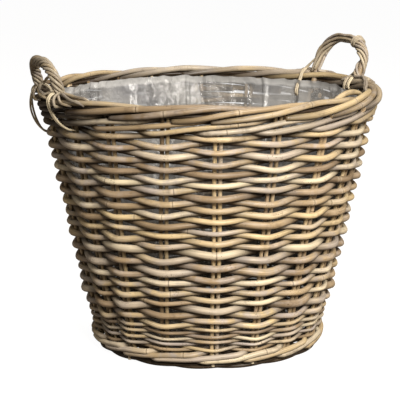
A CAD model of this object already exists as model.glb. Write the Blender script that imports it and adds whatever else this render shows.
import math
import random

import bpy
import numpy as np
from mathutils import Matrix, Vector, noise


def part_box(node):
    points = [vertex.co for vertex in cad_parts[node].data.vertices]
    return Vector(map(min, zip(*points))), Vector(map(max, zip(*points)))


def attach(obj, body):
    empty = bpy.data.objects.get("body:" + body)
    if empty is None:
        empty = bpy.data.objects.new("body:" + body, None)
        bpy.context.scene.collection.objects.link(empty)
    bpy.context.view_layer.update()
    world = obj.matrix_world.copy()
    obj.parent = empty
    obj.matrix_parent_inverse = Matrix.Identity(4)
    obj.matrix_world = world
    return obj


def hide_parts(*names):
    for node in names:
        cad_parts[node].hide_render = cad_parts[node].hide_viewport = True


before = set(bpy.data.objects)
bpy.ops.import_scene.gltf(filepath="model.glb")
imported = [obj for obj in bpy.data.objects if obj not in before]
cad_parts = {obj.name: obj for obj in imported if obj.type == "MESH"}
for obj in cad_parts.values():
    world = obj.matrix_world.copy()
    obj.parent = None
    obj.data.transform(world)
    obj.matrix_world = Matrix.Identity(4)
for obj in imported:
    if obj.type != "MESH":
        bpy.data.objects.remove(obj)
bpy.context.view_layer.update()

# A round, flared log basket of rattan rods with two rope handles and a polythene liner. Metres, +Z up.
# A bearing is an angle in degrees from the front (-Y) towards +X.

# --- Heights and radii, read from the frame's boxes ---
FOOT_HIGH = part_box("foot_wale")[1].z
SIDE_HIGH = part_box("side_weave_upper")[1].z
WALE_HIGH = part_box("top_wale")[1].z
RIM_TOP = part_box("rim_border")[1].z
RIM_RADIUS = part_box("rim_border")[1].x
LINER_LOW, LINER_HIGH = (corner.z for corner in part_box("liner"))
BASE_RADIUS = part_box("base_weave")[1].x

# --- Wall ---
WALL = 0.023  # a rod in front of a stake, the stake, and a rod behind it
STAKES = 18  # pairs of them
STAKE_STEP = 360 / STAKES
STAKE_ROD = 0.0060
STAKE_GAP = 0.0078  # between the middles of a pair
STAKE_TURN = -1.5  # bearing of the first pair
# Pairs that lean sideways: degrees off their places at the floor and at the top of the wale
LEANING_STAKES = {14: (1.5, 4.2), 15: (-5.0, 2.6), 16: (-5.5, 3.0)}
SIDE_ROWS = 34
UPSETT_ROWS = 8
UPSETT_HIGH = 0.062  # top of the thin upsett rows, where the side rows begin
ROD_PER_PITCH = 1.06  # a weaving rod's thickness as a share of its row's height
WALE_ROD = 0.0082
FOOT_EDGE = 0.0095  # height of the dark edge of the base, under the foot wale

# --- Rim: the border rods turn round a ring with this section ---
BORDER_ROD = 0.0086
RIM_REACH = 0.0089  # from the middle of that section to the middle of a rod
RIM_MIDDLE_RADIUS = RIM_RADIUS - RIM_REACH - BORDER_ROD / 2
RIM_MIDDLE_HEIGHT = RIM_TOP - RIM_REACH - BORDER_ROD / 2

# --- Handles: winding is how fast the cane turns, in radians a metre, on the front leg, top and rear leg ---
HANDLE_BEARING = 97.0  # to the right, and as far to the left
HANDLE_BASE = 0.376  # height that each bow is measured from
HALF_SPAN = 0.052  # from the middle of a handle to either leg
HANDLE_LEAN = 0.33  # how far a bow leans out for each metre of height
SHOULDER_RADIUS = 0.026
CROWN_RADIUS = 0.040
HANDLES = {
    "left": {
        "turn": -1,  # the side it is on
        "twist": 3.5,  # degrees that it faces away from its own bearing
        "rise": 0.043,  # heights of its crown and shoulders, along its lean
        "shoulder": 0.026,
        "half_crown": 0.029,  # half the crown's width
        "core": 0.0070,  # thickness of the inner rod, and of a strand of cane
        "cane": 0.0043,
        "strands": 6,
        "apart": 60.0,  # degrees round the inner rod from one strand to the next
        "winding": (-118, -80, -118),
    },
    "right": {
        "turn": 1,
        "twist": 0.0,
        "rise": 0.059,
        "shoulder": 0.034,
        "half_crown": 0.026,
        "core": 0.0084,
        "cane": 0.0043,
        "strands": 5,
        "apart": 54.0,
        "winding": (112, 0, -34),
    },
}
LASHING = 0.0030

dice = random.Random(31)


def smooth(share):
    """Eases from 0 to 1."""
    share = np.clip(share, 0, 1)
    return share * share * (3 - 2 * share)


def wall_line():
    """The wall's outside as radius = foot + flare * height, read from two of its stretches."""
    lower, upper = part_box("side_weave_lower")[1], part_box("side_weave_upper")[1]
    flare = (upper.x - lower.x) / (upper.z - lower.z)
    half_row = 0.004
    return lower.x - flare * (lower.z - half_row), flare


FOOT_RADIUS, FLARE = wall_line()
LEAN = math.atan(FLARE)


def around(bearing, radius, height):
    """Points at a bearing, a distance from the axis and a height."""
    bearing, radius, height = np.broadcast_arrays(bearing, radius, height)
    angle = np.radians(bearing)
    return np.stack([radius * np.sin(angle), -radius * np.cos(angle), height], axis=-1)


def direction(bearing, rise):
    """A unit vector towards a bearing and an angle above the horizon."""
    return Vector(around(bearing, math.cos(math.radians(rise)), math.sin(math.radians(rise))))


def wall_points(bearing, height, out):
    """Points on the wall: out is the distance outward from the wall's middle, square to the wall."""
    height, out = np.asarray(height, float), np.asarray(out, float)
    radius = FOOT_RADIUS + FLARE * height - WALL / 2 + out * math.cos(LEAN)
    return around(bearing, radius, height - out * math.sin(LEAN))


def rim_points(bearing, roll, reach):
    """Points round the rim's section: roll is 0 outside, 90 on top and 180 inside."""
    roll = np.radians(roll)
    radius = RIM_MIDDLE_RADIUS + reach * np.cos(roll)
    return around(bearing, radius, RIM_MIDDLE_HEIGHT + reach * np.sin(roll))


def stake_bearing(place, height):
    """The bearing of a stake pair at a height."""
    low, high = LEANING_STAKES.get(place % STAKES, (0.0, 0.0))
    return STAKE_TURN + place * STAKE_STEP + low + (high - low) * height / WALE_HIGH


def stake_count(bearing, height):
    """A bearing counted in stakes: a whole number at each pair."""
    places = range(-STAKES, 2 * STAKES + 1)
    return np.interp(bearing, [stake_bearing(place, height) for place in places], places)


# --- Making rods ---
def wobble(count, spread, step=1.0):
    """A smooth random curve over count points, with a new random value about every step points."""
    knots = max(4, int(count / step) + 3)
    values = np.array([dice.gauss(0, spread) for _ in range(knots)])
    place = np.linspace(1, knots - 2.001, count)
    low = place.astype(int)
    share = smooth(place - low)
    return values[low] * (1 - share) + values[low + 1] * share


def evenly(points, step):
    """The same line, as evenly spaced points."""
    points = np.asarray(points, float)
    along = np.concatenate([[0], np.cumsum(np.linalg.norm(np.diff(points, axis=0), axis=1))])
    places = np.linspace(0, along[-1], max(3, round(along[-1] / step) + 1))
    return np.stack([np.interp(places, along, points[:, axis]) for axis in range(points.shape[1])], axis=1)


def bent(points, step=0.0015, rounds=4):
    """A smooth line that follows points, with its corners cut again and again."""
    points = np.asarray(points, float)
    for _ in range(rounds):
        early = points[:-1] * 0.75 + points[1:] * 0.25
        late = points[:-1] * 0.25 + points[1:] * 0.75
        inner = np.stack([early, late], axis=1).reshape(-1, points.shape[1])
        points = np.concatenate([points[:1], inner[1:-1], points[-1:]])
    return evenly(points, step)


def carried_frames(path):
    """Two side directions along a path, carried forward without twisting."""
    tangent = np.gradient(path, axis=0)
    tangent /= np.linalg.norm(tangent, axis=1)[:, None]
    side = np.empty_like(path)
    start = np.cross(tangent[0], (0.31, 0.2, 0.93))
    side[0] = start / np.linalg.norm(start)
    for i in range(1, len(path)):
        carried = side[i - 1] - tangent[i] * np.dot(side[i - 1], tangent[i])
        side[i] = carried / np.linalg.norm(carried)
    return side, np.cross(tangent, side)


JOINT_SWELL = 0.06  # how much thicker a rod is at its joints
JOINT_HALF_WIDTH = 0.0035
UNEVENNESS = 0.02  # of a rod's thickness along its length
OVALNESS = 0.035
UNDERSIDE_DIRT = 0.85  # what facing straight down adds to a point's depth


class Rods:
    """Collects rods and makes one mesh of them, with each rod's straightened coordinates as attributes."""

    def __init__(self, sides=12):
        self.sides = sides
        self.points, self.faces = [], []
        self.grain, self.joint, self.tint, self.depth = [], [], [], []
        self.total = 0

    def add(self, path, diameter, tone, depth=0.0, joint_gap=0.3):
        """A rod along path. tone is its (colour, value, weathering). Those and its depth are each 0 to 1."""
        path = np.asarray(path, float)
        count = len(path)
        along = np.concatenate([[0], np.cumsum(np.linalg.norm(np.diff(path, axis=0), axis=1))])
        joint = along / joint_gap + dice.random()
        swell = 1 + JOINT_SWELL * np.exp(-(((joint % 1 - 0.5) * joint_gap / JOINT_HALF_WIDTH) ** 2))
        radius = np.broadcast_to(diameter, count) / 2 * swell * (1 + wobble(count, UNEVENNESS, 8))
        side, other = carried_frames(path)
        turn = np.linspace(0, 2 * math.pi, self.sides, endpoint=False)
        oval = 1 + OVALNESS * np.cos(2 * turn + dice.random() * 6)
        across = radius[:, None] * oval * np.cos(turn)
        upward = radius[:, None] * oval * np.sin(turn)
        spoke = across[..., None] * side[:, None] + upward[..., None] * other[:, None]
        offset = np.array([dice.random() * 9 for _ in range(3)])
        grain = np.stack([np.broadcast_to(along[:, None], across.shape), across, upward], axis=2) + offset
        under = np.clip(-spoke[..., 2] / radius[:, None], 0, 1) ** 3
        depth = np.broadcast_to(depth, count)[:, None] + UNDERSIDE_DIRT * under
        first = self.total
        ring = np.arange(self.sides)
        after = (ring + 1) % self.sides
        rows = first + self.sides * np.arange(count - 1)[:, None]
        above = rows + self.sides
        quads = np.stack([rows + ring, rows + after, above + after, above + ring], axis=2)
        self.faces += quads.reshape(-1, 4).tolist()
        self.faces.append((first + ring[::-1]).tolist())
        self.faces.append((first + self.sides * (count - 1) + ring).tolist())
        self.points.append((path[:, None] + spoke).reshape(-1, 3))
        self.grain.append(grain.reshape(-1, 3))
        self.joint.append(np.repeat(joint, self.sides))
        self.tint.append(np.tile([*tone, 1.0], (count * self.sides, 1)))
        self.depth.append(np.clip(depth, 0, 1).reshape(-1))
        self.total += count * self.sides

    def build(self, name, material, slot, *nodes):
        """Makes one object of all the rods. Their cut ends show pith."""
        mesh = bpy.data.meshes.new(name)
        mesh.from_pydata(np.concatenate(self.points).tolist(), [], self.faces)
        for attribute, kind, field, values in (
            ("grain", "FLOAT_VECTOR", "vector", self.grain),
            ("joint", "FLOAT", "value", self.joint),
            ("depth", "FLOAT", "value", self.depth),
            ("tint", "FLOAT_COLOR", "color", self.tint),
        ):
            data = mesh.attributes.new(attribute, kind, "POINT").data
            data.foreach_set(field, np.concatenate(values).ravel())
        cut = [len(face) != 4 for face in self.faces]
        mesh.polygons.foreach_set("use_smooth", [not end for end in cut])
        mesh.polygons.foreach_set("material_index", [int(end) for end in cut])
        mesh.update()
        return finish_piece(mesh, name, (material, PITH), nodes)


def finish_piece(mesh, name, materials, nodes):
    """Makes the object of a mesh, which rides on the basket and stands for the CAD nodes."""
    piece = bpy.data.objects.new(name, mesh)
    bpy.context.scene.collection.objects.link(piece)
    for material in materials:
        mesh.materials.append(material)
    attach(piece, "root")
    if nodes:
        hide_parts(*nodes)
    return piece


# --- Materials ---
class Nodes:
    """A short way to write a node tree."""

    def __init__(self, name):
        self.material = bpy.data.materials.new(name)
        self.material.use_nodes = True
        self.tree = self.material.node_tree
        self.tree.nodes.clear()

    def node(self, kind, inputs=None, **settings):
        made = self.tree.nodes.new(kind)
        for key, value in settings.items():
            setattr(made, key, value)
        for key, value in (inputs or {}).items():
            if isinstance(value, bpy.types.NodeSocket):
                self.tree.links.new(value, made.inputs[key])
            else:
                made.inputs[key].default_value = value
        return made

    def attribute(self, name, output):
        return self.node("ShaderNodeAttribute", attribute_name=name).outputs[output]

    def math(self, operation, first, second=0.0, clamp=False):
        made = self.node("ShaderNodeMath", {0: first, 1: second}, operation=operation, use_clamp=clamp)
        return made.outputs[0]

    def stretch(self, vector, scale):
        return self.node("ShaderNodeVectorMath", {0: vector, 1: scale}, operation="MULTIPLY").outputs[0]

    def noise(self, vector, scale, detail=4.0, roughness=0.55):
        inputs = {"Vector": vector, "Scale": scale, "Detail": detail, "Roughness": roughness}
        return self.node("ShaderNodeTexNoise", inputs).outputs["Fac"]

    def ramp(self, factor, stops):
        made = self.node("ShaderNodeValToRGB", {"Fac": factor})
        elements = made.color_ramp.elements
        while len(elements) < len(stops):
            elements.new(0.5)
        for element, (place, colour) in zip(elements, stops):
            element.position = place
            element.color = (*colour, 1.0)
        return made.outputs["Color"]

    def mix(self, factor, first, second, blend="MIX"):
        made = self.node("ShaderNodeMix", {"Factor": factor}, data_type="RGBA", blend_type=blend)
        for socket, value in ((made.inputs[6], first), (made.inputs[7], second)):
            if isinstance(value, bpy.types.NodeSocket):
                self.tree.links.new(value, socket)
            else:
                socket.default_value = (*value, 1.0)
        return made.outputs[2]

    def range(self, value, low, high, to_low=0.0, to_high=1.0):
        inputs = {0: value, 1: low, 2: high, 3: to_low, 4: to_high}
        return self.node("ShaderNodeMapRange", inputs).outputs[0]

    def grey(self, value):
        return self.node("ShaderNodeCombineColor", {0: value, 1: value, 2: value}).outputs[0]

    def finish(self, **inputs):
        """The surface. Each input is named as in the Principled shader, with _ for a space."""
        named = {key.replace("_", " "): value for key, value in inputs.items()}
        shader = self.node("ShaderNodeBsdfPrincipled", named)
        self.node("ShaderNodeOutputMaterial", {"Surface": shader.outputs[0]})
        return self.material


RATTAN_COLOURS = (
    (0.0, (0.240, 0.168, 0.098)),
    (0.16, (0.355, 0.254, 0.144)),
    (0.34, (0.485, 0.364, 0.208)),
    (0.52, (0.595, 0.455, 0.248)),
    (0.66, (0.415, 0.345, 0.270)),
    (0.82, (0.550, 0.458, 0.322)),
    (1.0, (0.650, 0.548, 0.370)),
)
MOULD_GREY = (0.400, 0.340, 0.292)
DIRT_BROWN = (0.022, 0.012, 0.005)
STAIN_BROWN = (0.070, 0.042, 0.024)
JOINT_BROWN = (0.060, 0.036, 0.020)
JOINT_PALE = (0.640, 0.520, 0.360)


def rattan(name, shade=1.0, roughness=0.46, dirt=0.85, age=1.0):
    """Weathered rattan: streaks, mould, stains, specks, rings at its joints and dirt deep in the weave."""
    n = Nodes(name)
    grain = n.attribute("grain", "Vector")
    tint = n.node("ShaderNodeSeparateColor", {"Color": n.attribute("tint", "Color")})
    colour, value, weather = tint.outputs[0], tint.outputs[1], tint.outputs[2]
    depth = n.attribute("depth", "Fac")

    streaks = n.noise(n.stretch(grain, (24.0, 800.0, 800.0)), 1.0, 3.0, 0.6)
    fibre = n.noise(n.stretch(grain, (100.0, 3000.0, 3000.0)), 1.0, 2.0, 0.5)
    blotch = n.noise(grain, 65.0, 4.0, 0.65)
    drift = n.math("MULTIPLY", n.math("SUBTRACT", n.noise(grain, 9.0, 2.0), 0.5), 0.6)
    base = n.ramp(n.math("ADD", colour, drift, clamp=True), RATTAN_COLOURS)

    mould = n.math("MULTIPLY", n.math("MULTIPLY", weather, age), n.range(blotch, 0.38, 0.62), clamp=True)
    base = n.mix(mould, base, MOULD_GREY)
    stain = n.range(n.noise(grain, 28.0, 5.0, 0.7), 0.57, 0.72, 0.0, 0.6)
    base = n.mix(stain, base, STAIN_BROWN)
    crowd = n.range(n.noise(grain, 45.0, 1.0), 0.56, 0.66)
    specks = n.math("MULTIPLY", crowd, n.range(n.noise(grain, 620.0, 1.0), 0.60, 0.68, 0.0, 0.75))
    base = n.mix(specks, base, STAIN_BROWN)

    joint = n.math("ABSOLUTE", n.math("SUBTRACT", n.math("FRACT", n.attribute("joint", "Fac")), 0.5))
    ring = n.range(joint, 0.0012, 0.0030, 1.0, 0.0)
    pale = n.math("SUBTRACT", n.range(joint, 0.008, 0.016, 1.0, 0.0), ring, clamp=True)
    base = n.mix(n.math("MULTIPLY", pale, 0.35), base, JOINT_PALE)
    base = n.mix(n.math("MULTIPLY", ring, 0.6), base, JOINT_BROWN)

    bright = n.math("MULTIPLY", n.range(streaks, 0.3, 0.72, 0.70, 1.22), n.range(fibre, 0.3, 0.7, 0.9, 1.08))
    bright = n.math("MULTIPLY", bright, n.range(value, 0.0, 1.0, 0.86 * shade, 1.10 * shade))
    base = n.mix(1.0, base, n.grey(bright), "MULTIPLY")
    base = n.mix(n.range(depth, 0.2, 0.9, 0.0, dirt), base, DIRT_BROWN)

    rough = n.range(blotch, 0.3, 0.7, roughness - 0.12, roughness + 0.14)
    relief = n.math("ADD", n.math("MULTIPLY", streaks, 0.7), n.math("MULTIPLY", fibre, 0.3))
    relief = n.math("SUBTRACT", relief, n.math("MULTIPLY", ring, 0.7))
    bump = n.node("ShaderNodeBump", {"Height": relief, "Strength": 0.5, "Distance": 0.0006}).outputs[0]
    return n.finish(Base_Color=base, Roughness=rough, Normal=bump, Specular_IOR_Level=0.4)


def pith(name):
    """The pale, porous end of a cut rod."""
    n = Nodes(name)
    place = n.node("ShaderNodeTexCoord").outputs["Object"]
    pores = n.noise(place, 1500.0, 2.0)
    base = n.ramp(pores, ((0.35, (0.30, 0.19, 0.10)), (0.6, (0.66, 0.50, 0.30))))
    bump = n.node("ShaderNodeBump", {"Height": pores, "Strength": 0.6, "Distance": 0.0005}).outputs[0]
    return n.finish(Base_Color=base, Roughness=0.85, Normal=bump)


FILM_GREYS = (
    (0.30, (0.195, 0.195, 0.200)),
    (0.52, (0.300, 0.295, 0.285)),
    (0.72, (0.440, 0.430, 0.410)),
)
HEM_GREY = (0.600, 0.590, 0.570)
LINER_DUST = (0.040, 0.032, 0.024)


def film(name):
    """Crumpled grey polythene, clearer in patches, doubled at its hem and dusty towards its floor."""
    n = Nodes(name)
    place = n.node("ShaderNodeTexCoord").outputs["Object"]
    hem, clear, crisp = (n.attribute(key, "Fac") for key in ("hem", "clear", "crisp"))
    cloud = n.noise(place, 11.0, 4.0, 0.6)
    crumple = n.noise(n.stretch(place, (1.0, 1.0, 0.6)), 60.0, 6.0, 0.6)
    fine = n.noise(place, 210.0, 4.0, 0.6)
    base = n.ramp(cloud, FILM_GREYS)
    base = n.mix(n.math("MULTIPLY", hem, 0.5), base, HEM_GREY)
    height = n.node("ShaderNodeSeparateXYZ", {"Vector": place}).outputs[2]
    base = n.mix(n.range(height, 0.05, 0.26, 0.88, 0.0), base, LINER_DUST)
    rough = n.range(fine, 0.3, 0.7, 0.10, 0.28)
    relief = n.math("ADD", n.math("MULTIPLY", crumple, 0.8), n.math("MULTIPLY", fine, 0.2))
    relief = n.math("MULTIPLY", relief, n.range(crisp, 0.0, 1.0, 0.25, 1.0))
    bump = n.node("ShaderNodeBump", {"Height": relief, "Strength": 0.9, "Distance": 0.006}).outputs[0]
    alpha = n.math("ADD", n.range(clear, 0.0, 1.0, 0.86, 0.42), n.math("MULTIPLY", hem, 0.3), clamp=True)
    return n.finish(Base_Color=base, Roughness=rough, Normal=bump, Alpha=alpha, Specular_IOR_Level=0.8)


PITH = pith("cut_pith")
WEAVE = rattan("weave_rattan", shade=1.02, dirt=0.95)
STAKE = rattan("stake_rattan", shade=1.06, dirt=0.9, age=0.4)
BORDER = rattan("border_rattan", shade=0.81, roughness=0.42, dirt=0.95, age=0.6)
BASE = rattan("base_rattan", shade=0.85, roughness=0.6)
CANE = {
    "left": rattan("left_handle_cane", shade=0.62, roughness=0.40, dirt=0.7, age=1.1),
    "right": rattan("right_handle_cane", shade=0.77, roughness=0.44, dirt=0.7, age=1.2),
}
LACE = rattan("lashing_cane", shade=0.9, roughness=0.42, age=0.5)
FILM = film("liner_film")


def rod_tone(low=0.0, high=1.0):
    """A random colour, value and weathering for one rod."""
    return (low + (high - low) * dice.random(), min(1, max(0, dice.gauss(0.5, 0.22))), dice.random() ** 2)


# --- Side weave ---
ROW_OVERLAP = 6.0  # degrees that a rod runs on past the stakes at its two ends
ROW_SAG = (0.0008, 0.0009)  # mean and spread of how far rods sag in front of a stake
ROW_ANGULARITY = 0.9  # 0 would bend a rod in a smooth wave, and 1 in a zigzag
GRIME = 0.8  # how much darker the rods right under the left handle are
GRIME_REACH = 36  # degrees to either side of that handle within which they are
GRIME_LOW = 0.310  # height above which it begins
GRIME_RISE = 0.030  # height over which it sets in


def depth_in_wall(path, rod):
    """0 at the wall's outside and 1 at its inside, for a rod's points."""
    radius = np.hypot(path[:, 0], path[:, 1])
    outside = FOOT_RADIUS + FLARE * path[:, 2]
    return np.clip((outside - rod / 2 - radius) / (WALL - rod), 0, 1)


def handle_grime(path):
    """How much darker rods are for lying under the left handle."""
    bearing = np.degrees(np.arctan2(path[:, 0], -path[:, 1]))
    beside = smooth((GRIME_REACH - np.abs(bearing + HANDLE_BEARING)) / (GRIME_REACH / 2))
    return GRIME * beside * smooth((path[:, 2] - GRIME_LOW) / GRIME_RISE)


def woven_row(rods, height, first_stake, rod, ends):
    """One row: rods laid end to end round the basket, each in front of one stake and behind the next."""
    swing = (STAKE_ROD + rod) / 2
    sag = [dice.gauss(*ROW_SAG) for _ in range(STAKES)]
    places = [stake_bearing(end, height) for end in ends]
    for number, start in enumerate(places):
        stop = places[number + 1] if number + 1 < len(places) else places[0] + 360
        bearing = np.arange(start - ROW_OVERLAP, stop + ROW_OVERLAP, 1.1)
        count = len(bearing)
        along = stake_count(bearing, height)
        wave = np.cos((along - first_stake) * math.pi)
        front = np.arcsin(ROW_ANGULARITY * wave) / math.asin(ROW_ANGULARITY)
        out = swing * front * (1 + wobble(count, 0.06, 18))
        drop = np.array([sag[round(place) % STAKES] for place in along]) * np.clip(front, 0, 1) ** 1.5
        entering = smooth((bearing - start) / ROW_OVERLAP)
        leaving = smooth((stop - bearing) / ROW_OVERLAP)
        level = height + wobble(count, 0.0007, 14) - drop
        level = level - rod / 4 * (1 - entering) + rod / 4 * (1 - leaving)
        taper = np.linspace(1.06, 0.92, count) * (0.5 + 0.5 * entering * leaving)
        path = wall_points(bearing, level, out)
        depth = depth_in_wall(path, rod) + handle_grime(path)
        rods.add(path, rod * taper, rod_tone(), depth, dice.uniform(0.22, 0.42))


def row_ends(first_stake):
    """The stakes behind which a row's rods end."""
    start = first_stake + 1 + 2 * dice.randrange(STAKES // 2)
    count = dice.choice((1, 2, 2, 3))
    return sorted({(start + round(i * STAKES / count / 2) * 2) % STAKES for i in range(count)})


def weave_stretch(prefix, rows, low, high, uneven, first_row, nodes):
    """A run of rows between two heights, each its own piece. uneven is how much their thickness varies."""
    sizes = [max(0.8, min(1.25, dice.gauss(1, uneven))) for _ in range(rows)]
    pitch = (high - low) / sum(sizes)
    height = low
    for row, size in enumerate(sizes):
        rods = Rods()
        first_stake = (first_row + row) % 2
        middle = height + size * pitch / 2
        woven_row(rods, middle, first_stake, size * pitch * ROD_PER_PITCH, row_ends(first_stake))
        rods.build(f"{prefix}_{row + 1:02d}", WEAVE, "weaving_rod", nodes[row * len(nodes) // rows])
        height += size * pitch


SIDE_NODES = ("side_weave_lower", "side_weave_middle", "side_weave_upper")
weave_stretch("upsett_row", UPSETT_ROWS, FOOT_HIGH, UPSETT_HIGH, 0.06, 0, ("upsett_weave",))
weave_stretch("side_row", SIDE_ROWS, UPSETT_HIGH, SIDE_HIGH, 0.11, UPSETT_ROWS, SIDE_NODES)


# --- Stakes ---
STAKE_DEPTH = 0.2
DARK_STAKE_DEPTHS = {-1: 0.70, 1: 0.50}  # of the two rods of a leaning pair, which are dark


def stakes():
    """The pairs of upright rods, from the floor to the border."""
    for place in range(STAKES):
        rods = Rods()
        height = np.linspace(0.004, WALE_HIGH + 0.004, 90)
        radius = FOOT_RADIUS + FLARE * height - WALL / 2
        for side, dark in DARK_STAKE_DEPTHS.items():
            sideways = side * STAKE_GAP / 2 + wobble(len(height), 0.0004, 20)
            bearing = stake_bearing(place, height) + np.degrees(sideways / radius)
            path = wall_points(bearing, height, wobble(len(height), 0.0003, 20))
            depth = dark if place in LEANING_STAKES else STAKE_DEPTH
            rods.add(path, STAKE_ROD * dice.uniform(0.90, 1.0), rod_tone(0.12, 0.6), depth)
        rods.build(f"stake_{place + 1:02d}", STAKE, "stake_rod", f"stake_pair_{place + 1:02d}")


stakes()


# --- Wales: three rods that turn round each other, each in front of two stakes and behind one ---
CLOSE_LAID = 0.15  # the rods of the wales and the border lie closer, and are darker between, than the weave's


def wale(name, node, low, high, rod, material, slot, tones):
    """One ring of wale. A rod's share runs from 0, where it comes out, to 1 three stakes further on."""
    middle = (low + high) / 2
    climb = (high - low - rod) / 2
    swing = (STAKE_ROD + rod) / 2
    rods = Rods()
    for strand in range(3):
        for turn in range(STAKES // 3):
            start = strand + 3 * turn - 0.5
            first, last = stake_bearing(start - 0.2, middle), stake_bearing(start + 3.5, middle)
            bearing = np.arange(first, last, 1.0)
            count = len(bearing)
            share = (stake_count(bearing, middle) - start) / 3
            rise = middle - climb + 2 * climb * smooth(share / 0.78)
            rise -= 0.3 * climb * smooth((share - 0.86) / 0.2)
            front = smooth((share + 0.04) / 0.16) - smooth((share - 0.66) / 0.20)
            path = wall_points(bearing, rise + wobble(count, 0.0006, 12), swing * (2 * front - 1) + 0.001)
            depth = CLOSE_LAID + depth_in_wall(path, rod) + handle_grime(path)
            rods.add(path, rod * dice.uniform(0.88, 1.06), rod_tone(*tones), depth)
    rods.build(name, material, slot, node)


wale("top_wale_rods", "top_wale", SIDE_HIGH, WALE_HIGH + 0.001, WALE_ROD, BORDER, "border_rod", (0.1, 0.9))
wale("foot_wale_rods", "foot_wale", FOOT_EDGE, FOOT_HIGH + 0.002, WALE_ROD, WEAVE, "weaving_rod", (0.2, 1.0))


def foot_edge():
    """The edge of the base, two dark rods that show under the foot wale."""
    rods = Rods()
    rod, inward, height, depth = 0.0062, 0.0085, 0.0052, 0.88
    bearing = np.arange(0, 362, 1.5)
    for strand in range(2):
        turn = np.radians(bearing * 8 + strand * 180)
        radius = FOOT_RADIUS - inward + 0.0022 * np.cos(turn)
        path = around(bearing, radius, height + 0.0016 * np.sin(turn))
        rods.add(path, rod, rod_tone(0.0, 0.3), depth)
    rods.build("foot_edge_rods", WEAVE, "weaving_rod")


def foot_stubs():
    """The cut lower ends of some stakes, which stick out under the wale."""
    rods = Rods(10)
    for place in range(STAKES):
        if dice.random() < 0.3:
            continue
        bearing = stake_bearing(place, 0) + dice.uniform(-2.5, 2.5)
        low = dice.uniform(0.004, 0.008)
        path = bent(wall_points(bearing, (0.022, 0.013, low), (0.000, 0.0045, 0.0070)), 0.001)
        rods.add(path, dice.uniform(0.0042, 0.0052), rod_tone(0.85, 1.0), 0.0)
    rods.build("foot_stubs", STAKE, "stake_rod")


foot_edge()
foot_stubs()


# --- Border: rods that rise outside, roll over the rim and dive inside, one from each stake ---
BORDER_SPAN = (66, 76)  # least and most degrees round the rim that one rod takes
BORDER_ROLL = (-66, 208)  # where a rod rises and dives, as degrees round the rim's section
RIM_HEART = {"rod": 0.0052, "reach": 0.0030, "depth": 1.0}  # three dark rods inside the border


def border():
    """The laid rods, and the dark ones inside that close the gaps between them."""
    rods = Rods(14)
    count = 84
    share = np.linspace(0, 1, count)
    for place in range(STAKES):
        start = stake_bearing(place, WALE_HIGH) + dice.uniform(-3, 3)
        bearing = start + dice.uniform(*BORDER_SPAN) * share
        roll = BORDER_ROLL[0] + (BORDER_ROLL[1] - BORDER_ROLL[0]) * share + wobble(count, 7, 18)
        reach = RIM_REACH * (1 + wobble(count, 0.06, 14))
        path = rim_points(bearing, roll, reach)
        depth = CLOSE_LAID + np.clip(np.abs(share - 0.45) * 2.4 - 0.5, 0, 1) + 0.7 * handle_grime(path)
        rods.add(path, BORDER_ROD * dice.uniform(0.84, 1.05), rod_tone(0.0, 0.85), depth)
    around_rim = np.arange(0, 363, 2.0)
    for roll in (-120, 0, 120):
        path = rim_points(around_rim, roll + around_rim, RIM_HEART["reach"])
        rods.add(path, RIM_HEART["rod"], (0.0, 0.2, 0.5), RIM_HEART["depth"])
    rods.build("border_rods", BORDER, "border_rod", "rim_border")


def sprung_rod():
    """One border rod, near the right handle, that stands up in a hump from the inner edge of the rim."""
    rods = Rods(14)
    first_bearing, span = 24, 28
    ends_down, hump, inward, rod = 0.014, 0.0145, 0.0145, 0.0076
    share = np.linspace(0, 1, 40)
    bearing = first_bearing + span * share
    height = RIM_TOP - ends_down + hump * np.sin(math.pi * share**0.75) ** 0.8
    path = around(bearing, RIM_MIDDLE_RADIUS - inward, height)
    rods.add(path, rod, (0.5, 0.5, 0.2), 0.0, 1.0)
    rods.build("sprung_border_rod", BORDER, "border_rod")


border()
sprung_rod()


# --- Handles ---
def rounded_line(corners, radii):
    """A flat line through corners, each rounded by an arc of its own radius."""
    corners = [np.array(corner, float) for corner in corners]
    points = [corners[0]]
    for before, corner, after, radius in zip(corners, corners[1:], corners[2:], radii):
        into = (corner - before) / np.linalg.norm(corner - before)
        out = (after - corner) / np.linalg.norm(after - corner)
        turn = math.acos(np.dot(into, out))
        inward = out - into * np.dot(into, out)
        start = corner - into * radius * math.tan(turn / 2)
        centre = start + inward / np.linalg.norm(inward) * radius
        for angle in np.linspace(0, turn, 12):
            toward_start = (start - centre) * math.cos(angle)
            points.append(centre + toward_start + into * radius * math.sin(angle))
    points.append(corners[-1])
    return evenly(points, 0.0012)


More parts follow.
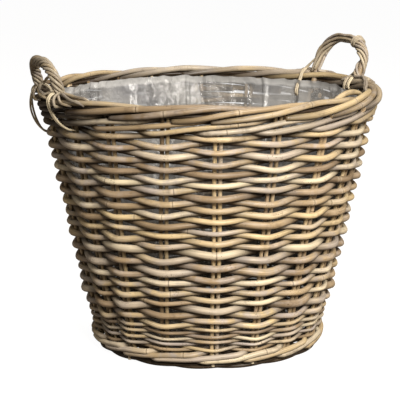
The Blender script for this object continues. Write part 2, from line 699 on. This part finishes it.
class Bow:
    """The middle line of a handle, from its front leg to its rear one, and the directions round it."""

    def __init__(self, side):
        self.shape = HANDLES[side]
        self.turn = self.shape["turn"]
        self.bearing = self.turn * HANDLE_BEARING
        out = around(self.bearing, 1.0, 0.0)
        facing = around(self.bearing + self.shape["twist"], 1.0, 0.0)
        lean = math.atan(HANDLE_LEAN)
        self.front = np.cross(facing, (0, 0, self.turn))
        self.up = facing * math.sin(lean) + np.array([0, 0, math.cos(lean)])
        self.inward = np.array([0, 0, math.sin(lean)]) - facing * math.cos(lean)
        middle = FOOT_RADIUS + FLARE * HANDLE_BASE - WALL / 2
        self.origin = out * math.sqrt(middle**2 - HALF_SPAN**2) + np.array([0, 0, HANDLE_BASE])
        self.leg_turn = math.degrees(math.asin(HALF_SPAN / middle))

    def line(self, start):
        """Points along the bow, whose legs both begin at the local height start."""
        rise, shoulder, half_crown = (self.shape[key] for key in ("rise", "shoulder", "half_crown"))
        right_half = ((HALF_SPAN, start), (HALF_SPAN, shoulder), (half_crown, rise))
        corners = right_half + tuple((-x, y) for x, y in reversed(right_half))
        flat = rounded_line(corners, (SHOULDER_RADIUS, CROWN_RADIUS, CROWN_RADIUS, SHOULDER_RADIUS))
        return self.origin + flat[:, :1] * self.front + flat[:, 1:] * self.up

    def leg_bearing(self, leg):
        """leg is 1 for the front one and -1 for the rear one."""
        return self.bearing - self.turn * leg * self.leg_turn

    def round_line(self, line, angle, reach):
        """Points round the bow: angle is 0 outside it, 90 towards the basket's axis and 180 within it."""
        tangent = np.gradient(line, axis=0)
        tangent /= np.linalg.norm(tangent, axis=1)[:, None]
        outside = np.cross(tangent, self.inward) * self.turn
        angle = np.radians(angle)[:, None]
        return line + reach * (np.cos(angle) * outside + np.sin(angle) * self.inward)


def splay(bow, leg, start, heading, sweep, roll):
    """A strand's end: it leaves the leg, bends sweep degrees along the rim and is tucked in."""
    share = np.linspace(0.04, 1, 30)
    length = abs(sweep) * math.radians(1) * RIM_RADIUS
    travelled = share * length
    straight = start + heading * np.minimum(travelled, 0.022)[:, None]
    bearing = bow.leg_bearing(leg) - bow.turn * sweep * share
    reach = np.interp(share, (0, 0.35, 0.85, 1), (0.018, 0.0150, 0.0145, 0.0075))
    laid = rim_points(bearing, 90 + (roll - 90) * smooth(share * 1.2), reach)
    blend = smooth(travelled / min(0.024, 0.45 * length))[:, None]
    return straight * (1 - blend) + laid * blend


# Where the strands of a leg are tucked in: degrees along the rim towards the front, and the final roll
TUCKS = {
    ("left", 1): ((20, 70), (17, 40), (11, 15), (8, 120), (-9, 30), (6, -5)),
    ("left", -1): ((24, 30), (20, 50), (15, 0), (-8, 60), (7, 150), (-5, 10)),
    ("right", 1): ((31, 150), (9, 35), (34, 140), (6, 60), (-8, 150)),
    ("right", -1): ((12, 20), (-9, 60), (-13, 40), (-6, 20), (9, 10)),
}


def handle_cane(side, bow):
    """The strands that wind round the handle's inner rod, from one tuck in the rim to another."""
    shape = bow.shape
    line = bow.line(0.007)
    count = len(line)
    place = np.linspace(0, 1, count)
    step = np.linalg.norm(line[1] - line[0])
    front, top, rear = shape["winding"]
    rate = front + (top - front) * smooth((place - 0.28) / 0.12)
    rate = rate + (rear - top) * smooth((place - 0.60) / 0.12)
    wound = np.degrees(np.cumsum(rate) * step)
    wound += 180 - wound[count // 2]
    reach = (shape["core"] + shape["cane"]) / 2
    rods = Rods(10)
    for strand in range(shape["strands"]):
        spread = (strand - (shape["strands"] - 1) / 2) * shape["apart"]
        angle = wound + spread + wobble(count, 2.5, 14)
        body = bow.round_line(line, angle, reach * (1 + wobble(count, 0.03, 10))[:, None])
        ends = []
        for leg, first, second in ((1, 0, 1), (-1, -1, -2)):
            heading = body[first] - body[second]
            heading /= np.linalg.norm(heading)
            sweep, roll = TUCKS[side, leg][strand]
            ends.append(splay(bow, leg, body[first], heading, sweep, roll))
        path = evenly(np.concatenate([ends[0][::-1], body, ends[1]]), 0.0016)
        rods.add(path, shape["cane"] * dice.uniform(0.93, 1.06), rod_tone(0.58, 0.95), 0.0, 0.9)
    rods.build(
        f"{side}_handle_cane",
        CANE[side],
        "handle_cane",
        f"{side}_handle_rope",
        f"{side}_handle_tail_a",
        f"{side}_handle_tail_b",
    )


def handle_core(side, bow):
    """The inner rod of a handle, whose legs run down inside the rim."""
    rods = Rods(14)
    depth_in_rim = 0.05
    rods.add(bow.line(-depth_in_rim), bow.shape["core"], (0.2, 0.55, 0.5), 0.0, 1.0)
    rods.build(f"{side}_handle_inner_rod", CANE[side], "handle_cane", f"{side}_handle_core")


# How each leg is lashed: degrees that the lower end slants forward, its height, how far the strands
# hang off the wall, and how far they roll over the rim
LASHINGS = {
    ("left", 1): (8.0, 0.332, 0.001, 175),
    ("left", -1): (2.0, 0.312, 0.009, 175),
    ("right", 1): (5.0, 0.334, 0.001, 175),
    ("right", -1): (4.0, 0.334, 0.001, 60),
}


def lashing(side, bow, leg, node):
    """Two thin strands from under the wale, up the outside and over the rim."""
    rods = Rods(10)
    slant, low, stand, last_roll = LASHINGS[side, leg]
    outside = WALL / 2 + 0.0015
    reach = RIM_MIDDLE_HEIGHT - low
    heights = (low, low + 0.0035, low + 0.35 * reach, low + 0.75 * reach)
    for number, offset in enumerate((-0.5, 0.5)):
        foot = bow.leg_bearing(leg) + offset + bow.turn * 1.0
        forward = -bow.turn * (slant + dice.uniform(-0.3, 0.3))
        off = stand * (1 - 0.45 * number)
        outs = (0.003, outside, outside + 0.002 + 0.8 * off, outside + 0.003 + off)
        rise = wall_points(foot + forward * np.array([1.1, 1, 0.5, 0.15]), heights, outs)
        over = rim_points(foot + 0 * np.arange(4), np.linspace(20, last_roll, 4), 0.0158)
        parts = [rise, over]
        if last_roll > 90:
            tucked = np.array([0.001, 0.008]) - WALL / 2
            parts.append(wall_points(foot + np.array([0, 0.2]), (0.360, 0.352), tucked))
        rods.add(bent(np.concatenate(parts)), LASHING, (0.98, 0.8, 0.0), 0.0, 0.9)
    rods.build(f"{side}_handle_lashing_{'front' if leg == 1 else 'rear'}", LACE, "handle_cane", node)


# The right handle's bracing strands: their leg, how high on it they begin, how many degrees along the rim
# they cross it, how far down inside they hang and how far off the weave
BRACES = {
    "right_handle_brace_rear": (-1, 0.024, 4.6, 0.030, 0.0065),
    "right_handle_brace_front": (1, 0.010, 3.6, 0.012, -0.001),
}


def brace(name, bow, leg, height, sweep, hang, off):
    """Two thin strands from a leg of a handle, over the rim and down inside."""
    rods = Rods(10)
    leg_line = bow.origin + leg * HALF_SPAN * bow.front
    for offset in (0.0, 0.75):
        top = leg_line + bow.up * (height + offset * 0.002) + bow.inward * 0.004
        mid = leg_line + bow.up * height * 0.6 + bow.inward * 0.007
        mid = mid - bow.front * math.radians(sweep * 0.35) * RIM_RADIUS
        bearing = bow.leg_bearing(leg) + bow.turn * (sweep + offset)
        over = rim_points(bearing + 0 * np.arange(3), (95, 140, 178), 0.0155)
        inside = -WALL / 2 - off
        heights = RIM_MIDDLE_HEIGHT - hang * np.array([0.5, 0.85, 1.0])
        down = wall_points(bearing + 0 * np.arange(3), heights, (inside, inside, inside + 0.008))
        rods.add(bent(np.concatenate([[top, mid], over, down])), LASHING, rod_tone(0.85, 1.0), 0.0, 0.9)
    rods.build(name, LACE, "handle_cane")


COLLAR_PLACE = (0.295, 0.352)  # along the right handle's bow
COLLAR_TURN = (-60, 960)  # degrees round the bow


def collar(bow):
    """Three close turns round the right handle, ending in a cut stub."""
    start, rod = 0.009, 0.0036
    line = bow.line(start)
    first, last = (round(share * (len(line) - 1)) for share in COLLAR_PLACE)
    part = evenly(line[first:last], 0.0002)
    count = len(part)
    angle = np.linspace(*COLLAR_TURN, count)
    reach = (bow.shape["core"] + LASHING) / 2 + bow.shape["cane"] * (0.75 + 0.2 * wobble(count, 1, 12))
    path = bow.round_line(part, angle, reach[:, None])
    stub = path[0] + (bow.front * 0.35 - bow.up) * np.linspace(0.007, 0.001, 5)[:, None]
    rods = Rods(10)
    rods.add(evenly(np.concatenate([stub, path]), 0.001), rod, (0.80, 0.5, 0.3), 0.0, 0.9)
    rods.build("right_handle_collar_cane", CANE["right"], "handle_cane", "right_handle_collar")


LOOSE_ARCH = (  # along the bow, up it, and in towards the basket's axis
    (-0.048, 0.004, 0.006),
    (-0.030, 0.013, 0.008),
    (0.000, 0.018, 0.008),
    (0.028, 0.012, 0.008),
    (0.046, -0.002, 0.007),
)


def loose_strand(bow):
    """A strand that arches over the rim between the legs of the left handle."""
    rods = Rods(10)
    path = bent([bow.origin + x * bow.front + y * bow.up + z * bow.inward for x, y, z in LOOSE_ARCH])
    rods.add(path, bow.shape["cane"], (0.66, 0.6, 0.6), 0.0, 0.9)
    rods.build("left_handle_loose_strand", CANE["left"], "handle_cane")


def handles():
    """Both handles, with all that binds them to the rim."""
    for side in HANDLES:
        bow = Bow(side)
        handle_core(side, bow)
        handle_cane(side, bow)
        lashing(side, bow, 1, f"{side}_handle_lashing_{'a' if side == 'left' else 'b'}")
        lashing(side, bow, -1, f"{side}_handle_lashing_{'b' if side == 'left' else 'a'}")
        if side == "left":
            loose_strand(bow)
    collar(bow)
    for name, shape in BRACES.items():
        brace(name, bow, *shape)


handles()


# --- Base: eight sticks, four across four, that spread into sixteen spokes, and rods woven round them ---
BASE_STICKS = [f"base_stick_{number}" for number in range(1, 9)]
STICKS_ACROSS = 4
STICK_ROD = 0.0072
STICK_SPACING = 0.009  # side by side where they cross
STICK_STRAIGHT = 0.022  # from the axis to where they begin to spread
SPOKE_STEP = 22.5  # degrees between spokes
BASE_ROD = 0.0052
BASE_ROUNDS = 21
BASE_FIRST_ROUND = 0.031  # its radius


def base():
    """The crossed sticks, and the rods woven round their spokes."""
    layers = [sum(corner.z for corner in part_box(name)) / 2 for name in BASE_STICKS]
    level = sum(layers) / len(layers)
    distance = np.linspace(-1, 1, 120) * (BASE_RADIUS - 0.003)
    spread = smooth((np.abs(distance) - STICK_STRAIGHT) / 0.03)
    sticks = Rods()
    for number, layer in enumerate(layers):
        place = number % STICKS_ACROSS - (STICKS_ACROSS - 1) / 2
        fan = math.radians(place * SPOKE_STEP)
        x = distance * (1 - spread + spread * math.cos(fan))
        y = place * STICK_SPACING * (1 - spread) + spread * np.abs(distance) * math.sin(fan)
        z = layer * (1 - spread) + level * spread
        if number >= STICKS_ACROSS:
            x, y = -y, x
        sticks.add(np.stack([x, y, z], axis=1), STICK_ROD, rod_tone(0.1, 0.7))
    sticks.build("base_sticks", BASE, "stake_rod", *BASE_STICKS)

    weave = Rods(10)
    swing = 0.0061
    for turn in range(BASE_ROUNDS):
        radius = BASE_FIRST_ROUND + (BASE_RADIUS - BASE_FIRST_ROUND - BASE_ROD / 2) * turn / (BASE_ROUNDS - 1)
        bearing = np.linspace(0, 363, max(90, int(radius * 2 * math.pi / 0.004))) + turn * 37
        wave = np.cos((bearing / SPOKE_STEP - 0.5 - turn) * math.pi)
        path = around(bearing, radius, level + wave * swing)
        weave.add(path, BASE_ROD * dice.uniform(0.94, 1.05), rod_tone(0.1, 0.9))
    weave.build("base_weave_rods", BASE, "base_rod", "base_weave")


base()


# --- Liner ---
LINER_COLUMNS, LINER_FLOOR_ROWS, LINER_WALL_ROWS = 480, 26, 92  # of points
LINER_FLOOR = LINER_LOW + 0.0012
LINER_FLOOR_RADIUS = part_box("foot_wale")[1].x - WALL - 0.0152
LINER_PLEATS = 30
LINER_PATCHES = (  # bearing, half width, how clear, how crumpled
    (147, 17, 1.0, 0.5),
    (174, 9, 0.0, 1.6),
    (112, 22, 0.0, -0.6),
    (-140, 20, 0.7, 0.4),
    (20, 24, 0.6, 0.3),
    (-45, 60, 0.4, 0.0),
)


def away(bearing, middle):
    """Degrees between two bearings."""
    return abs((bearing - middle + 180) % 360 - 180)


def ridges(place, scale, seed):
    """Sharp-edged crumples: 0 in the hollows and 1 on the creases."""
    return (1 - min(1, abs(noise.noise(place * scale + Vector((seed, 0, 0)))) * 2.6)) ** 2


def liner_profile(pleats, about, bearing, share, crisp):
    """Where a point of the bag's wall lies: its height and its distance in from the weave."""
    corner = 0.014
    ragged = 0.0050 * noise.noise(about * 3.1 + Vector((0, 0, 4))) + 0.0022 * noise.noise(about * 14)
    top = LINER_HIGH - 0.008 + ragged
    height = LINER_FLOOR + (top - LINER_FLOOR) * share
    fold = 0.0
    for middle, width, size, slant in pleats:
        off = away(bearing, middle + slant * (height - 0.2))
        if off < width:
            fold = max(fold, size * (1 - off / width) ** 1.3)
    place = Vector((about.x * 0.2, about.y * 0.2, height * 0.75))
    crumple = 0.0030 * ridges(place, 34, 1) * (0.4 + 0.6 * crisp) + 0.0014 * ridges(place, 95, 3) * crisp
    rounding = corner * (1 - math.sqrt(max(0, 1 - (1 - min(1, (height - LINER_FLOOR) / corner)) ** 2)))
    lip = 0.0035 * max(0, (share - 0.97) / 0.03) ** 2
    return height, 0.0014 + (fold + crumple) * min(1, share * 4) + rounding + lip


def liner():
    """A bag of film: a round floor, and a wall that leans out behind the weave to an uneven hem."""
    pleats = [
        (dice.uniform(0, 360), dice.uniform(1.0, 5.0), dice.uniform(0.002, 0.0065), dice.uniform(-30, 30))
        for _ in range(LINER_PLEATS)
    ]
    points, hems, clears, crisps = [], [], [], []
    first_ring = 0.006
    rows = LINER_FLOOR_ROWS + LINER_WALL_ROWS
    for row in range(rows):
        for column in range(LINER_COLUMNS):
            bearing = column * 360 / LINER_COLUMNS
            about = direction(bearing, 0)
            clear = max(0, noise.noise(about * 2.2 + Vector((0, 0, row * 0.02))))
            crisp = 0.7 + noise.noise(about * 3 + Vector((5, 0, row * 0.02)))
            for middle, width, clearer, crisper in LINER_PATCHES:
                near = float(smooth(1.6 - 1.6 * away(bearing, middle) / width))
                clear += near * clearer
                crisp += near * crisper
            if row < LINER_FLOOR_ROWS:
                radius = first_ring + (LINER_FLOOR_RADIUS - first_ring) * row / LINER_FLOOR_ROWS
                lift = 0.0022 * ridges(about * radius, 60, 7)
                points.append(about * radius + Vector((0, 0, LINER_FLOOR + lift)))
                hems.append(0.0)
            else:
                share = (row - LINER_FLOOR_ROWS) / (LINER_WALL_ROWS - 1)
                height, inset = liner_profile(pleats, about, bearing, share, max(0.0, crisp))
                points.append(Vector(wall_points(bearing, height, -WALL / 2 - inset)))
                hems.append(float(share > 0.972 + 0.012 * noise.noise(about * 5)))
            clears.append(min(1, clear))
            crisps.append(min(1.5, max(0, crisp)))
    faces = [tuple(range(LINER_COLUMNS))[::-1]]
    for row in range(rows - 1):
        low, high = row * LINER_COLUMNS, (row + 1) * LINER_COLUMNS
        for column in range(LINER_COLUMNS):
            after = (column + 1) % LINER_COLUMNS
            faces.append((low + column, low + after, high + after, high + column))
    mesh = bpy.data.meshes.new("liner_bag")
    mesh.from_pydata(points, [], faces)
    for name, values in (("hem", hems), ("clear", clears), ("crisp", crisps)):
        mesh.attributes.new(name, "FLOAT", "POINT").data.foreach_set("value", values)
    mesh.polygons.foreach_set("use_smooth", [True] * len(faces))
    mesh.update()
    bag = finish_piece(mesh, "liner_bag", (FILM,), ("liner",))


liner()


# --- Camera, light and floor ---
def aim(thing, ahead):
    """Turns a camera or light to face along ahead, and puts it in the scene."""
    thing.rotation_mode = "QUATERNION"
    thing.rotation_quaternion = ahead.to_track_quat("-Z", "Y")
    bpy.context.scene.collection.objects.link(thing)


VIEW_BEARING = -25.0
VIEW_DISTANCE = 2.235
VIEW_HEIGHT = 0.647
VIEW_PITCH = 11.13
VIEW_YAW = 0.28
VIEW_LENS = 140.9
WARM_WHITE = (1.0, 0.955, 0.895)
ROOM_LIGHT = 0.03  # strength of the light from all round
# Name, bearing from the camera, angle up, distance, size, watts
LIGHTS = (
    ("key", 21, 33, 2.6, 1.0, 126),
    ("left_fill", -85, 18, 2.6, 1.0, 9),
    ("right_fill", 100, 25, 2.6, 1.0, 14),
    ("top", 165, 70, 2.4, 1.2, 30),
)


def studio():
    """The camera, the lights, and a world that is white to the camera and dim to everything else."""
    scene = bpy.context.scene
    scene.view_settings.view_transform = "Standard"
    camera = bpy.data.objects.new("camera", bpy.data.cameras.new("camera"))
    camera.data.lens = VIEW_LENS
    camera.location = around(VIEW_BEARING, VIEW_DISTANCE, VIEW_HEIGHT)
    aim(camera, direction(VIEW_BEARING + VIEW_YAW + 180, -VIEW_PITCH))
    scene.camera = camera

    for name, turn, lift, far, size, power in LIGHTS:
        light = bpy.data.objects.new(name, bpy.data.lights.new(name, "AREA"))
        back = direction(VIEW_BEARING + turn, lift)
        light.location = Vector((0, 0, 0.2)) + back * far
        light.data.size = size
        light.data.energy = power
        light.data.color = WARM_WHITE
        aim(light, -back)

    world = bpy.data.worlds.new("studio")
    scene.world = world
    world.use_nodes = True
    tree = world.node_tree
    tree.nodes.clear()
    soft = tree.nodes.new("ShaderNodeBackground")
    soft.inputs["Color"].default_value = (1.0, 0.94, 0.86, 1)
    soft.inputs["Strength"].default_value = ROOM_LIGHT
    white = tree.nodes.new("ShaderNodeBackground")
    white.inputs["Color"].default_value = (1, 1, 1, 1)
    seen = tree.nodes.new("ShaderNodeLightPath")
    either = tree.nodes.new("ShaderNodeMixShader")
    out = tree.nodes.new("ShaderNodeOutputWorld")
    tree.links.new(seen.outputs["Is Camera Ray"], either.inputs[0])
    tree.links.new(soft.outputs[0], either.inputs[1])
    tree.links.new(white.outputs[0], either.inputs[2])
    tree.links.new(either.outputs[0], out.inputs[0])


def studio_floor():
    """A white paper floor that throws little light back up into the weave."""
    edge = 20.0
    mesh = bpy.data.meshes.new("floor")
    corners = [(-edge, -edge, 0), (edge, -edge, 0), (edge, edge, 0), (-edge, edge, 0)]
    mesh.from_pydata(corners, [], [(0, 1, 2, 3)])
    floor = bpy.data.objects.new("floor", mesh)
    bpy.context.scene.collection.objects.link(floor)
    n = Nodes("floor_paper")
    paper = n.node("ShaderNodeBsdfDiffuse", {"Color": (0.16, 0.14, 0.12, 1)})
    glow = n.node("ShaderNodeEmission", {"Color": (1, 1, 1, 1), "Strength": 0.97})
    both = n.node("ShaderNodeAddShader", {0: paper.outputs[0], 1: glow.outputs[0]})
    seen = n.node("ShaderNodeLightPath").outputs["Is Camera Ray"]
    either = n.node("ShaderNodeMixShader", {0: seen, 1: paper.outputs[0], 2: both.outputs[0]})
    n.node("ShaderNodeOutputMaterial", {"Surface": either.outputs[0]})
    mesh.materials.append(n.material)


studio()
studio_floor()
